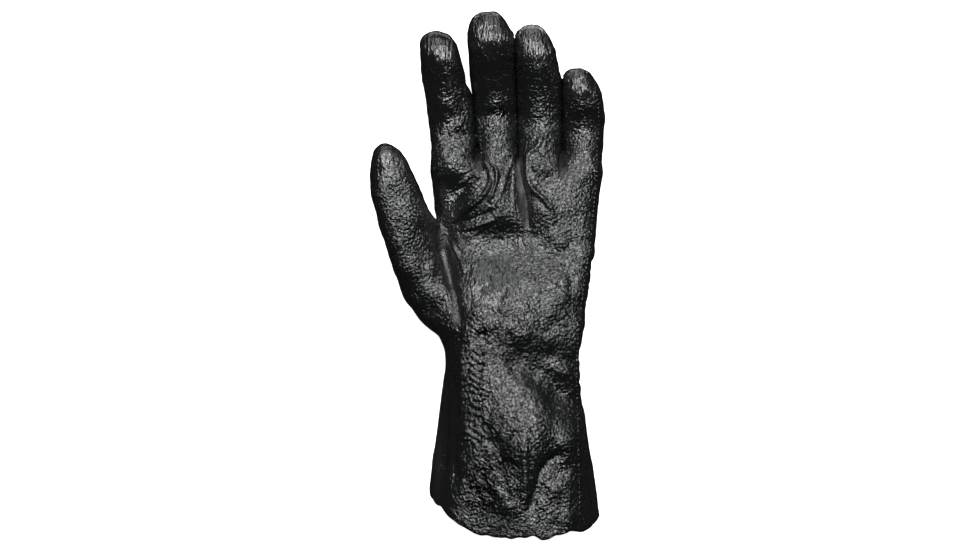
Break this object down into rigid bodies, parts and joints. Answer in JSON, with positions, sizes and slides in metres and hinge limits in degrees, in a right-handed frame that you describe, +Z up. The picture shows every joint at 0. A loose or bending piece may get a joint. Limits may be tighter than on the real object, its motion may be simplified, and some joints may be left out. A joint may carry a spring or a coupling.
{
  "type": "pvc coated work glove",
  "caption": "Left-hand work glove with a flared gauntlet cuff, dipped in black PVC with a rough wrinkled finish, lying on its back with the palm up.",
  "frame": {"origin": "on the table, under the middle of the glove's bounding box", "axes": "+Y from the hem to the fingertips, -X towards the thumb, +Z up out of the palm"},
  "size_m": [0.1364, 0.304, 0.0716],
  "materials": {
    "black_pvc": "rough wrinkled finish with a wet gloss"
  },
  "bodies": {
    "root": {"glove_shell": "black_pvc"}
  },
  "joints": []
}
